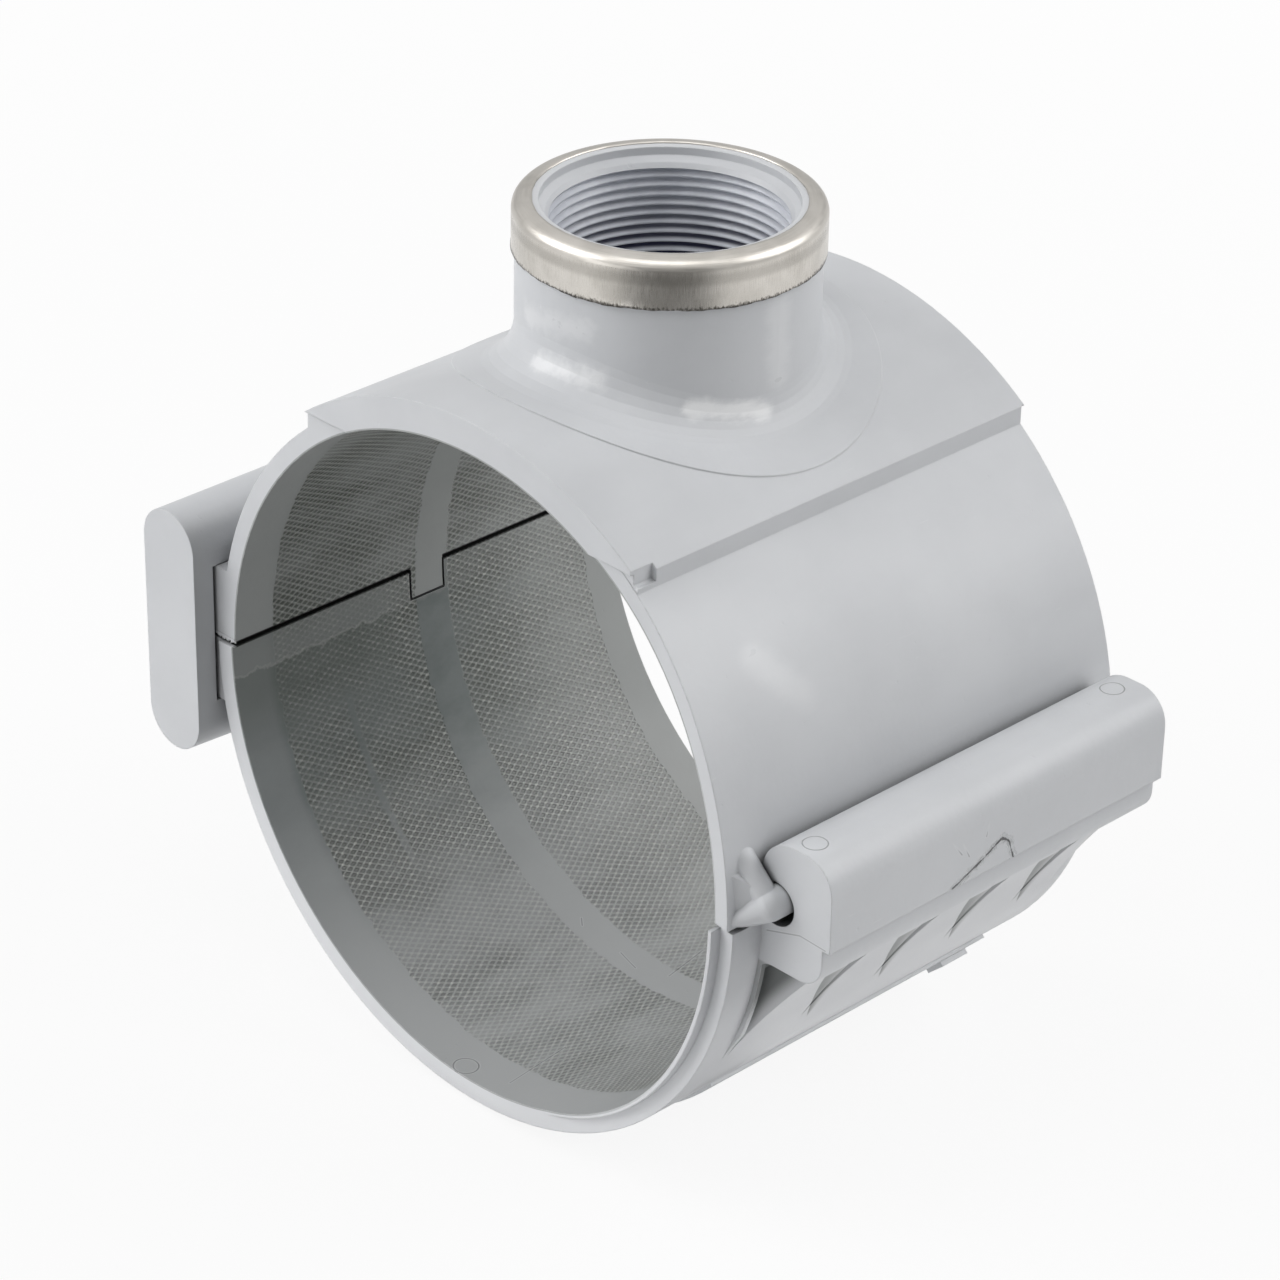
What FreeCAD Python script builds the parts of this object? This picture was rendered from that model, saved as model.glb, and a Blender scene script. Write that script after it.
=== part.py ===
"""Clamp saddle for a 168.3 mm pipe with a 2 inch threaded outlet, in two hinged halves held by a wedge.

Millimetres. The pipe runs along Y, the outlet points up along Z, and the origin is on the pipe axis
under the middle of the outlet. The wedge is on the left (-X) and the hinge is on the right (+X).
"""
import FreeCAD, Part
import math
import os

V = FreeCAD.Vector

# Pipe and outlet
PIPE_DIAMETER = 168.3
THREAD_MINOR_DIAMETER = 55.3
THREAD_LENGTH = 27.0

# Saddle
LENGTH = 126.4
UPPER_WALL = 4.6
LOWER_WALL = 5.1
SPLIT_GAP = 1.1
UPPER_END_INSET = 1.0
LIP_WALL = 1.1
FAR_LIP_HEIGHT = 3.0
FAR_LIP_RUN = 38.15
NEAR_LIP_REACH = 4.3
NEAR_LIP_RUN = 56.0
NEAR_FACE_REACH = 1.4
UPPER_HINGE_REACH = 3.2
UPPER_HINGE_RUN = 39.0

# Pad under the outlet
PAD_WALL = 8.15
PAD_WIDTH = 110.0
INSERT_DIAMETER = 99.4
PAD_NICK_LENGTH = 6.5
PAD_NICK_DEPTH = 1.4
INSERT_STEP = 0.3

# Outlet boss
BOSS_DIAMETER = 70.8
BOSS_FLARE_RADIUS = 10.0
BOSS_FLARE_BANDS = 6
BOSS_FLARE_STATIONS = 48
RIM_RADIUS = 29.95
OUTLET_RISE = 34.7
RIM_DEPTH = 1.9
THREAD_MOUTH_RADIUS = 28.4
THREAD_CHAMFER = 1.2
WATERWAY_DIAMETER = 52.0

# Reinforcing ring, pressed sheet
RING_SHEET = 0.75
RING_HEIGHT = 9.25
RING_SHOULDER_DROP = 2.2
RING_CORNER = 1.85
RING_CORNER_BANDS = 3
RING_SLOPE = 15.0
RING_LIP_RADIUS = 31.4

# Seal in the pad, round the waterway
SEAL_INNER_RADIUS = 30.5
SEAL_WIDTH = 7.0
SEAL_DEPTH = 3.9
SEAL_CLEARANCE = 0.1

# Flanges that the wedge grips
FLANGE_LIP = 7.6
UPPER_NECK_HEIGHT = 19.2
LOWER_NECK_HEIGHT = 17.6
FLANGE_LIP_RISE = 7.4
FLANGE_TAPER = 2.97
FLANGE_CHAMFER = 1.1

# Wedge
WEDGE_WIDTH = 18.8
WEDGE_NEAR_WALL = 5.9
WEDGE_GAP_TO_SHELL = 1.8
WEDGE_LIP = 5.0
WEDGE_WALL_ABOVE = 6.2
WEDGE_WALL_BELOW = 7.8
WEDGE_FIT = 0.25
WEDGE_SIDE_PLAY = 1.2
WEDGE_END_PLAY = 1.2

# Tongue at the left split
TONGUE_WIDTH = 10.6
TONGUE_DEPTH = 8.0
TONGUE_WALL = 3.0
TONGUE_CLEARANCE = 0.5
TONGUE_BACK_CLEARANCE = 0.8

# Hinge
BEAD_OUT = 5.05
BEAD_Z = 6.8
BEAD_RADIUS = 3.9
WEB_THICKNESS = 3.0
SOCKET_RADIUS = 5.5
SOCKET_SHIFT_X = -0.5
SOCKET_SHIFT_Z = -1.1
SWING = 6.0
BAR_REACH = 21.05
BAR_WIDTH = 20.9
BAR_TOP = 21.9
BAR_GAP_TO_SHELL = 1.3
BAR_CORNER_OUTER = 8.0
BAR_CORNER_INNER = 9.0
FOOT_STEP = 2.2
FOOT_BOTTOM = -10.8
FOOT_CORNER = 6.5
FOOT_ROOT_RADIUS = 5.0
ARM_WIDTH = 6.0
ARM_CLEARANCE = 0.5
ARM_FINGER_Z = 15.6
ARM_FINGER_RADIUS = 3.0
ARM_WEB_ROOT = 2.0
ARM_WEB_FORWARD = 2.7
ARM_BELLY_RADIUS = 1.3

# Gussets under the hinge bar, with a pocket scooped out beside each
GUSSET_END_RIB = 1.35
GUSSET_RIB_HEIGHT = 1.2
GUSSET_LAND_ANGLE = -31.5
GUSSET_HOLLOW = 1.4
GUSSET_SETBACK = 0.8
POCKET_PITCH = 24.15
POCKET_WIDTH = 19.0
POCKET_TIP_DEPTH = 11.25
POCKET_CROWN = 3.0
POCKET_MOUTH_OVERRUN = 3.0
POCKET_FLOOR_STEP = 2.0

# Raised band on the underside
BAND_STEP = 0.9
BAND_ANGLE = 43.0
BAND_NEAR_Y = -46.0
BAND_FAR_Y = 48.0
LUG_NEAR_Y = 36.0
LUG_LENGTH = 9.0
LUG_WIDTH = 6.0
LUG_HEIGHT = 2.2

# Places worked out from the sizes above
BORE_R = PIPE_DIAMETER / 2
HALF = LENGTH / 2
UPPER_R = BORE_R + UPPER_WALL
LOWER_R = BORE_R + LOWER_WALL
PAD_R = BORE_R + PAD_WALL
RIM_Z = PAD_R + OUTLET_RISE
BOSS_R = BOSS_DIAMETER / 2
UPPER_HALF = HALF - UPPER_END_INSET
PAD_EDGE_Z = math.sqrt(PAD_R**2 - (PAD_WIDTH / 2) ** 2)
BOSS_SHOULDER_Z = RIM_Z - RING_SHOULDER_DROP
SPLIT = SPLIT_GAP / 2
TAPER = math.tan(math.radians(FLANGE_TAPER))
WEDGE_INNER_X = -(UPPER_R + WEDGE_GAP_TO_SHELL)
WEDGE_OUTER_X = WEDGE_INNER_X - WEDGE_WIDTH
LIP_INNER_X = WEDGE_INNER_X - WEDGE_LIP - WEDGE_SIDE_PLAY
LIP_OUTER_X = LIP_INNER_X - FLANGE_LIP
BEAD_X = UPPER_R + BEAD_OUT
BAR_RIGHT = UPPER_R + BAR_REACH
BAR_LEFT = BAR_RIGHT - BAR_WIDTH
BAR_HALF = UPPER_HALF - ARM_WIDTH - ARM_CLEARANCE
BIG = 4 * BORE_R


def box(x0, x1, y0, y1, z0, z1):
    """Box between the given coordinates."""
    return Part.makeBox(x1 - x0, y1 - y0, z1 - z0, V(x0, y0, z0))


def pipe_cylinder(radius, half_length):
    """Solid cylinder on the pipe axis, centred on the outlet."""
    return Part.makeCylinder(radius, 2 * half_length, V(0, -half_length, 0), V(0, 1, 0))


def tube(inner, outer, half_length):
    """Tube on the pipe axis, centred on the outlet."""
    return pipe_cylinder(outer, half_length).cut(pipe_cylinder(inner, half_length + 1))


def outlet_cylinder(radius, z0, z1):
    """Solid cylinder on the outlet axis."""
    return Part.makeCylinder(radius, z1 - z0, V(0, 0, z0))


def profile(points, y):
    """Closed wire in the plane across the pipe at y, from points in x and z."""
    corners = [V(x, y, z) for x, z in points]
    return Part.makePolygon(corners + corners[:1])


def prism(points, y0, y1):
    """Solid with a constant section across the pipe."""
    return Part.Face(profile(points, y0)).extrude(V(0, y1 - y0, 0))


def tapered(near_points, far_points, y0, y1):
    """Solid whose section changes evenly from the near end to the far end."""
    return Part.makeLoft([profile(near_points, y0), profile(far_points, y1)], True, True)


def edges_along_y(shape, test):
    """Straight edges of the shape that run along the pipe and pass a test of x and z."""
    found = []
    for edge in shape.Edges:
        first, last = edge.Vertexes[0].Point, edge.Vertexes[-1].Point
        run = last - first
        if run.Length > 1 and abs(run.y) > 0.98 * run.Length and test(first.x, first.z):
            found.append(edge)
    return found


def lower_drop(y):
    """How much lower the tapered flange and the wedge are at y than at the near flange end."""
    return TAPER * (y + UPPER_HALF)


def ring_section():
    """Half section of the reinforcing ring in x and z: its corners, inside and outside, and its lip."""
    slope = math.radians(RING_SLOPE)
    turn = math.pi / 2 - slope
    centre_x = BOSS_R - RING_CORNER

    def corner(radius):
        points = []
        for i in range(RING_CORNER_BANDS + 1):
            angle = turn * i / RING_CORNER_BANDS
            up = BOSS_SHOULDER_Z + radius * math.sin(angle)
            points.append(V(centre_x + radius * math.cos(angle), 0, up))
        return points

    def up_slope(start, x):
        return V(x, 0, start.z + (start.x - x) * math.tan(slope))

    inner = corner(RING_CORNER)
    outer = corner(RING_CORNER + RING_SHEET)
    lip_low = up_slope(inner[-1], RING_LIP_RADIUS)
    lip_top = up_slope(outer[-1], RING_LIP_RADIUS + RING_SHEET / 2)
    lip_mid = V(RING_LIP_RADIUS, 0, (lip_low.z + lip_top.z) / 2)
    return {"inner": inner + [lip_low], "outer": outer + [lip_top, lip_mid]}


def revolved(points):
    """Solid of revolution about the outlet axis, from the corners of its half section."""
    return Part.Face(Part.makePolygon(points + points[:1])).revolve(V(0, 0, 0), V(0, 0, 1), 360)


def boss_top():
    """Boss as a revolved solid whose top fits the inside of the ring."""
    low = BORE_R / 2
    inside = ring_section()["inner"]
    return revolved([V(0, 0, low), V(BOSS_R, 0, low)] + inside + [V(RIM_RADIUS, 0, RIM_Z), V(0, 0, RIM_Z)])


def closed_curve(points):
    """Smooth closed wire through the points."""
    curve = Part.BSplineCurve()
    curve.interpolate(Points=points, PeriodicFlag=True)
    return Part.Wire(curve.toShape())


def flare_section(angle):
    """Points of the flare in the upright plane at an angle round the outlet, from the boss to the pad."""
    top_r = PAD_R + INSERT_STEP
    across = math.cos(angle)
    reach = BOSS_R + BOSS_FLARE_RADIUS
    slope = 0.0
    for _ in range(20):
        at = reach - BOSS_FLARE_RADIUS * math.sin(slope)
        height = math.sqrt(top_r**2 - (at * across) ** 2)
        slope = math.atan(at * across**2 / height)
    centre_z = height + BOSS_FLARE_RADIUS * math.cos(slope)
    points = []
    for i in range(BOSS_FLARE_BANDS + 1):
        turn = math.pi + (math.pi / 2 - slope) * i / BOSS_FLARE_BANDS
        sink = 0.05 if i in (0, BOSS_FLARE_BANDS) else 0.0
        out = reach + (BOSS_FLARE_RADIUS + sink) * math.cos(turn)
        up = centre_z + (BOSS_FLARE_RADIUS + sink) * math.sin(turn)
        points.append(V(out * math.cos(angle), out * math.sin(angle), up))
    return points


def boss_flare():
    """Hollow flare that runs the boss into the pad, in bands between closed curves."""
    angles = [2 * math.pi * i / BOSS_FLARE_STATIONS for i in range(BOSS_FLARE_STATIONS)]
    sections = [flare_section(a) for a in angles]
    core = BOSS_R - RING_SHEET
    top_z = max(points[0].z for points in sections) + RING_SHEET
    curves = [closed_curve([V(core * math.cos(a), core * math.sin(a), top_z) for a in angles])]
    for i in range(BOSS_FLARE_BANDS + 1):
        curves.append(closed_curve([points[i] for points in sections]))
    curves.append(closed_curve([V(core * math.cos(a), core * math.sin(a), BORE_R / 2) for a in angles]))
    return Part.makeLoft(curves, True, True)


def outlet_bore():
    """Everything removed from the outlet: rim recess, thread mouth, thread bore and waterway."""
    rim_floor = RIM_Z - RIM_DEPTH
    mouth = rim_floor - THREAD_CHAMFER
    thread_low = mouth - THREAD_LENGTH
    rim = outlet_cylinder(RIM_RADIUS, rim_floor, RIM_Z + 5)
    chamfer = Part.makeCone(THREAD_MOUTH_RADIUS, RIM_RADIUS, THREAD_CHAMFER, V(0, 0, mouth))
    minor_r = THREAD_MINOR_DIAMETER / 2
    lead_low = mouth - THREAD_CHAMFER
    lead = Part.makeCone(minor_r, THREAD_MOUTH_RADIUS, THREAD_CHAMFER, V(0, 0, lead_low))
    thread = outlet_cylinder(minor_r, thread_low, lead_low)
    waterway = outlet_cylinder(WATERWAY_DIAMETER / 2, BORE_R / 2, thread_low)
    return rim.fuse([chamfer, lead, thread, waterway])


def flange(sign, neck_height, taper):
    """Flange for the wedge: a neck from the shell and a lip that stands away from the split."""

    def section(extra):
        neck = neck_height + extra
        lip = neck + FLANGE_LIP_RISE
        root = -(BORE_R + UPPER_WALL / 2)
        cut = FLANGE_CHAMFER
        return [(x, sign * z) for x, z in (
            (root, SPLIT), (LIP_OUTER_X, SPLIT), (LIP_OUTER_X, lip - cut), (LIP_OUTER_X + cut, lip),
            (LIP_INNER_X - cut, lip), (LIP_INNER_X, lip - cut), (LIP_INNER_X, neck), (root, neck))]

    grown = taper * 2 * UPPER_HALF
    solid = tapered(section(0), section(grown), -UPPER_HALF, UPPER_HALF)
    return solid.cut(pipe_cylinder(BORE_R + UPPER_WALL / 4, HALF))


def hinge_arm(fingered):
    """Arm that carries the end of the bead: a slanted web to a ball, with a finger and belly or without."""
    near = -UPPER_HALF
    far = -(BAR_HALF + ARM_CLEARANCE)
    ball = V(BEAD_X, near + BEAD_RADIUS, BEAD_Z)
    shell_x = math.sqrt(UPPER_R**2 - ARM_FINGER_Z**2)
    root_low = V(UPPER_R - ARM_WEB_ROOT, 0, SPLIT)
    root_top = V(shell_x - ARM_FINGER_RADIUS, 0, ARM_FINGER_Z)
    under = V((root_low.x + ball.x + BEAD_RADIUS) / 2, 0, SPLIT + BEAD_RADIUS / 4)
    tip = V(ball.x + BEAD_RADIUS * 0.75, 0, ball.z - BEAD_RADIUS * 0.6)
    over = V(ball.x + BEAD_RADIUS * 0.15, 0, ball.z + BEAD_RADIUS * 0.75)
    edges = [
        Part.Arc(root_low, under, tip).toShape(),
        Part.makeLine(tip, over),
        Part.makeLine(over, root_top),
        Part.makeLine(root_top, root_low),
    ]
    plate = Part.Face(Part.Wire(edges)).extrude(V(0, BIG, 0))
    plate.translate(V(0, near - UPPER_HINGE_REACH, 0))
    web_near = near - ARM_WEB_FORWARD if fingered else near
    slant = [
        V(root_low.x, web_near, -BIG), V(ball.x, ball.y - 1, -BIG), V(ball.x + BEAD_RADIUS, ball.y, -BIG),
        V(ball.x + BEAD_RADIUS, far, -BIG), V(root_low.x, far, -BIG),
    ]
    plate = plate.common(Part.Face(Part.makePolygon(slant + slant[:1])).extrude(V(0, 0, 2 * BIG)))
    sphere = Part.makeSphere(BEAD_RADIUS, ball)
    stub = Part.makeCylinder(BEAD_RADIUS, far - ball.y, ball, V(0, 1, 0))
    arm = plate.fuse([sphere, stub])
    if not fingered:
        return arm
    start = V(shell_x - ARM_FINGER_RADIUS / 2, near + ARM_FINGER_RADIUS, ARM_FINGER_Z)
    along = ball - start
    finger = Part.makeCylinder(ARM_FINGER_RADIUS, along.Length, start, along)
    knuckle = Part.makeSphere(ARM_FINGER_RADIUS, start)
    belly_y = -HALF - UPPER_HINGE_REACH + UPPER_END_INSET + ARM_BELLY_RADIUS
    corner = V(UPPER_R - ARM_BELLY_RADIUS, belly_y, SPLIT + ARM_BELLY_RADIUS)
    run = corner - ball
    belly = Part.makeCone(BEAD_RADIUS, ARM_BELLY_RADIUS, run.Length, ball, run)
    belly = belly.fuse(Part.makeSphere(ARM_BELLY_RADIUS, corner))
    outside = box(0, BIG, -BIG, far, -BIG, BIG)
    return arm.fuse(finger.fuse([knuckle, belly]).common(outside))


def hinge_bead():
    """Bead along the hinge with the web that joins it to the shell."""
    run = BAR_HALF + ARM_CLEARANCE
    bead = Part.makeCylinder(BEAD_RADIUS, 2 * run, V(BEAD_X, -run, BEAD_Z), V(0, 1, 0))
    web_low = BEAD_Z - WEB_THICKNESS / 2
    web = box(BORE_R + UPPER_WALL / 2, BEAD_X, -run, run, web_low, web_low + WEB_THICKNESS)
    far_arm = hinge_arm(False).mirror(V(0, 0, 0), V(0, 1, 0))
    return bead.fuse([web, hinge_arm(True), far_arm])


def forward_end(outer, run, reach):
    """Part of a tube wall in front of the near end, which comes forward in a curve towards the hinge."""
    start = V(BORE_R - run, -HALF, -BIG)
    end = V(BORE_R + run, -HALF - 4 * reach, -BIG)
    middle = V(BORE_R, -HALF - reach, -BIG)
    edges = [
        Part.Arc(start, middle, end).toShape(),
        Part.makeLine(end, V(end.x, 0, -BIG)),
        Part.makeLine(V(end.x, 0, -BIG), V(start.x, 0, -BIG)),
        Part.makeLine(V(start.x, 0, -BIG), start),
    ]
    block = Part.Face(Part.Wire(edges)).extrude(V(0, 0, 2 * BIG))
    return tube(BORE_R, outer, BIG).common(block)


def upper_half():
    """Upper half with pad, outlet, wedge flange, tongue and hinge bead."""
    half_width = PAD_WIDTH / 2
    forward = forward_end(UPPER_R, UPPER_HINGE_RUN, UPPER_HINGE_REACH)
    forward = forward.common(box(0, BIG, -BIG, 0, -BIG, BIG))
    forward.translate(V(0, UPPER_END_INSET, 0))
    shell = tube(BORE_R, UPPER_R, UPPER_HALF).fuse(forward).common(box(-BIG, BIG, -BIG, BIG, SPLIT, BIG))
    pad_side = box(-half_width, half_width, -UPPER_HALF, UPPER_HALF, BORE_R / 2, BIG)
    pad_face = box(-half_width, half_width, -HALF, HALF, PAD_EDGE_Z, BIG)
    pad = tube(BORE_R, PAD_R, HALF).common(pad_side.fuse(pad_face))
    nick = box(half_width - PAD_NICK_DEPTH, BIG, -BIG, -HALF + PAD_NICK_LENGTH, UPPER_R * 0.8, BIG)
    nick = nick.common(tube(UPPER_R + 0.5, BIG, HALF))
    pad = pad.cut(nick)
    insert = tube(BORE_R + 1, PAD_R + INSERT_STEP, HALF)
    insert = insert.common(outlet_cylinder(INSERT_DIAMETER / 2, BORE_R / 2, BIG))
    body = shell.fuse([pad, insert, boss_top(), boss_flare()])
    tongue_low = -TONGUE_DEPTH
    tongue = tube(BORE_R, BORE_R + TONGUE_WALL, TONGUE_WIDTH / 2)
    tongue = tongue.common(box(-BIG, 0, -BIG, BIG, tongue_low, SPLIT + 1))
    body = body.fuse([flange(1, UPPER_NECK_HEIGHT, 0), tongue, hinge_bead()])
    body = body.cut(pipe_cylinder(BORE_R, BIG))
    body = body.cut(outlet_bore())
    groove = outlet_cylinder(SEAL_INNER_RADIUS + SEAL_WIDTH + SEAL_CLEARANCE, BORE_R / 2, BIG)
    groove = groove.cut(outlet_cylinder(SEAL_INNER_RADIUS - SEAL_CLEARANCE, 0, 2 * BIG))
    groove = groove.common(pipe_cylinder(BORE_R + SEAL_DEPTH, HALF))
    return body.cut(groove).removeSplitter()


def hinge_bar():
    """Channel bar that takes the bead, open towards the shell, on its foot."""
    top = box(BAR_LEFT, BAR_RIGHT, -BAR_HALF, BAR_HALF, 0, BAR_TOP)
    top = top.makeFillet(BAR_CORNER_OUTER, edges_along_y(top, lambda x, z: x > BAR_LEFT + 1 and z > 1))
    top = top.makeFillet(BAR_CORNER_INNER, edges_along_y(top, lambda x, z: x < BAR_LEFT + 1 and z > 1))
    top = top.cut(pipe_cylinder(UPPER_R + BAR_GAP_TO_SHELL, BIG).common(box(-BIG, BIG, -BIG, BIG, SPLIT, BIG)))
    foot_right = BAR_RIGHT - FOOT_STEP
    foot = box(BORE_R + LOWER_WALL / 2, foot_right, -BAR_HALF, BAR_HALF, FOOT_BOTTOM, 0)
    foot = foot.makeFillet(FOOT_CORNER, edges_along_y(foot, lambda x, z: x > foot_right - 1 and z < -1))
    root_z = FOOT_BOTTOM - FOOT_ROOT_RADIUS
    root_x = math.sqrt((LOWER_R + FOOT_ROOT_RADIUS) ** 2 - root_z**2)
    shell_share = LOWER_R / (LOWER_R + FOOT_ROOT_RADIUS)
    root = box(BORE_R + LOWER_WALL / 2, root_x, -BAR_HALF, BAR_HALF, root_z * shell_share, FOOT_BOTTOM)
    hollow = Part.makeCylinder(FOOT_ROOT_RADIUS, 2 * BAR_HALF, V(root_x, -BAR_HALF, root_z), V(0, 1, 0))
    return top.fuse([foot, root.cut(hollow)])


def hinge_socket():
    """Space for the bead and its web, with room for the swing."""
    x = BEAD_X + SOCKET_SHIFT_X
    z = BEAD_Z + SOCKET_SHIFT_Z
    bore = Part.makeCylinder(SOCKET_RADIUS, 2 * BAR_HALF + 2, V(x, -BAR_HALF - 1, z), V(0, 1, 0))
    reach = BEAD_X - BAR_LEFT
    swing = reach * math.sin(math.radians(SWING)) + 0.6
    low = BEAD_Z - WEB_THICKNESS / 2 - swing
    high = BEAD_Z + WEB_THICKNESS / 2 + swing
    mouth = box(BORE_R, x, -BAR_HALF - 1, BAR_HALF + 1, low, high)
    return bore.fuse(mouth)


def gusset_block():
    """Solid under the hinge bar, from its foot down to the shell, slightly hollow outside."""
    land = math.radians(GUSSET_LAND_ANGLE)
    near = -BAR_HALF
    outer = V(BAR_RIGHT - FOOT_STEP - GUSSET_SETBACK, near, FOOT_BOTTOM + FOOT_CORNER)
    end = V(LOWER_R * math.cos(land), near, LOWER_R * math.sin(land))
    chord = end - outer
    inward = V(chord.z, 0, -chord.x)
    inward.normalize()
    middle = (outer + end) * 0.5 + inward * GUSSET_HOLLOW
    inner_end = V(end.x - 3, near, end.z + 2)
    inner_top = V(BORE_R + LOWER_WALL / 2, near, FOOT_BOTTOM + FOOT_CORNER)
    edges = [
        Part.Arc(outer, middle, end).toShape(),
        Part.makeLine(end, inner_end),
        Part.makeLine(inner_end, inner_top),
        Part.makeLine(inner_top, outer),
    ]
    return Part.Face(Part.Wire(edges)).extrude(V(0, BAR_HALF - near, 0))


def gusset_pockets():
    """Scoops in the gusset block, deepest at their near side, and the low rib before the first."""
    outer_x = BAR_RIGHT - FOOT_STEP - GUSSET_SETBACK
    first = -BAR_HALF + GUSSET_END_RIB
    count = int((BAR_HALF - first) / POCKET_PITCH) + 1
    tip_x = LOWER_R - POCKET_TIP_DEPTH
    pockets = []
    for i in range(count):
        y = first + i * POCKET_PITCH
        tip = V(tip_x, y, FOOT_BOTTOM)
        mouth = V(outer_x, y + POCKET_WIDTH, FOOT_BOTTOM)
        run = mouth - tip
        outside = V(run.y, -run.x, 0)
        outside.normalize()
        beyond = mouth + V(POCKET_MOUTH_OVERRUN, POCKET_MOUTH_OVERRUN, 0)
        edges = [
            Part.Arc(tip, (tip + mouth) * 0.5 + outside * POCKET_CROWN, mouth).toShape(),
            Part.makeLine(mouth, beyond),
            Part.makeLine(beyond, V(beyond.x, y, FOOT_BOTTOM)),
            Part.makeLine(V(beyond.x, y, FOOT_BOTTOM), tip),
        ]
        pockets.append(Part.Face(Part.Wire(edges)).extrude(V(0, 0, -BORE_R)))
    scoops = pockets[0].fuse(pockets[1:]) if count > 1 else pockets[0]
    scoops = scoops.common(box(0, BIG, -BIG, BAR_HALF, -BIG, BIG))
    scoops = scoops.cut(pipe_cylinder(LOWER_R - POCKET_FLOOR_STEP, BIG))
    end_wall = box(0, BIG, -BAR_HALF - 1, first + 0.01, -BIG, FOOT_BOTTOM)
    return scoops.fuse(end_wall.cut(pipe_cylinder(LOWER_R + GUSSET_RIB_HEIGHT, BIG)))


def underside_band():
    """Raised band below the shell, with the short lug beside its edge."""
    length = BAND_FAR_Y - BAND_NEAR_Y
    reach = (BORE_R + LOWER_WALL) * 2
    angle = math.radians(BAND_ANGLE)
    outer = Part.makeCylinder(LOWER_R + BAND_STEP, length, V(0, BAND_NEAR_Y, 0), V(0, 1, 0))
    sector = prism(
        [(0, 0), (reach * math.cos(angle), -reach * math.sin(angle)),
         (reach, -reach * 2), (-reach, -reach * 2), (-reach * math.cos(angle), -reach * math.sin(angle))],
        BAND_NEAR_Y, BAND_FAR_Y)
    band = outer.common(sector).cut(pipe_cylinder(BORE_R + 1, BIG))
    lug_far_y = LUG_NEAR_Y + LUG_LENGTH
    lug = box(LOWER_R - 3, LOWER_R + LUG_HEIGHT, LUG_NEAR_Y, lug_far_y, -LUG_WIDTH / 2, LUG_WIDTH / 2)
    lug.rotate(V(0, 0, 0), V(0, 1, 0), BAND_ANGLE + 5)
    return band.fuse(lug)


def far_setback():
    """Slanted cut that sets the hinge side of the far end back and leaves the lip round the bore."""
    start_x = BORE_R - FAR_LIP_RUN
    deep = FAR_LIP_HEIGHT / FAR_LIP_RUN * (BIG - start_x)
    corners = [
        V(start_x, HALF, -BIG), V(BIG, HALF - deep, -BIG), V(BIG, BIG, -BIG), V(start_x, BIG, -BIG),
    ]
    cut = Part.Face(Part.makePolygon(corners + corners[:1])).extrude(V(0, 0, 2 * BIG))
    return cut.cut(pipe_cylinder(BORE_R + LIP_WALL, BIG))


def near_lip():
    """Thin lip round the bore at the near end, which grows towards the hinge."""
    start_x = BORE_R - NEAR_LIP_RUN
    corners = [
        V(start_x, -HALF, -BIG), V(BORE_R + LIP_WALL, -HALF - NEAR_LIP_REACH, -BIG),
        V(BORE_R + LIP_WALL, 0, -BIG), V(start_x, 0, -BIG),
    ]
    block = Part.Face(Part.makePolygon(corners + corners[:1])).extrude(V(0, 0, 2 * BIG))
    return tube(BORE_R, BORE_R + LIP_WALL, BIG).common(block)


def lower_half():
    """Lower half with its end lips, tapered flange, hinge bar, ribs and notch."""
    below = box(-BIG, BIG, -BIG, BIG, -BIG, -SPLIT)
    near_face = forward_end(LOWER_R, NEAR_LIP_RUN, NEAR_FACE_REACH).common(box(0, BIG, -BIG, 0, -BIG, BIG))
    shell = tube(BORE_R, LOWER_R, HALF).cut(far_setback())
    shell = shell.fuse([near_face, near_lip()]).common(below)
    carrier = shell.fuse(gusset_block()).cut(gusset_pockets())
    body = carrier.fuse([flange(-1, LOWER_NECK_HEIGHT, TAPER), hinge_bar(), underside_band()])
    body = body.cut(pipe_cylinder(BORE_R, BIG))
    body = body.cut(hinge_socket())
    notch_half = TONGUE_WIDTH / 2 + TONGUE_CLEARANCE
    notch = tube(BORE_R - 1, BORE_R + TONGUE_WALL + TONGUE_BACK_CLEARANCE, notch_half)
    notch = notch.common(box(-BIG, 0, -BIG, BIG, -TONGUE_DEPTH - TONGUE_CLEARANCE, 1))
    return body.cut(notch).removeSplitter()


def stadium(top, bottom, y):
    """Outline of the wedge across the pipe: straight sides and round ends."""
    radius = WEDGE_WIDTH / 2
    middle = (WEDGE_INNER_X + WEDGE_OUTER_X) / 2
    corners = [
        V(WEDGE_INNER_X, y, top - radius), V(middle, y, top), V(WEDGE_OUTER_X, y, top - radius),
        V(WEDGE_OUTER_X, y, bottom + radius), V(middle, y, bottom), V(WEDGE_INNER_X, y, bottom + radius),
    ]
    return Part.Wire([
        Part.Arc(corners[0], corners[1], corners[2]).toShape(),
        Part.makeLine(corners[2], corners[3]),
        Part.Arc(corners[3], corners[4], corners[5]).toShape(),
        Part.makeLine(corners[5], corners[0]),
    ])


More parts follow.
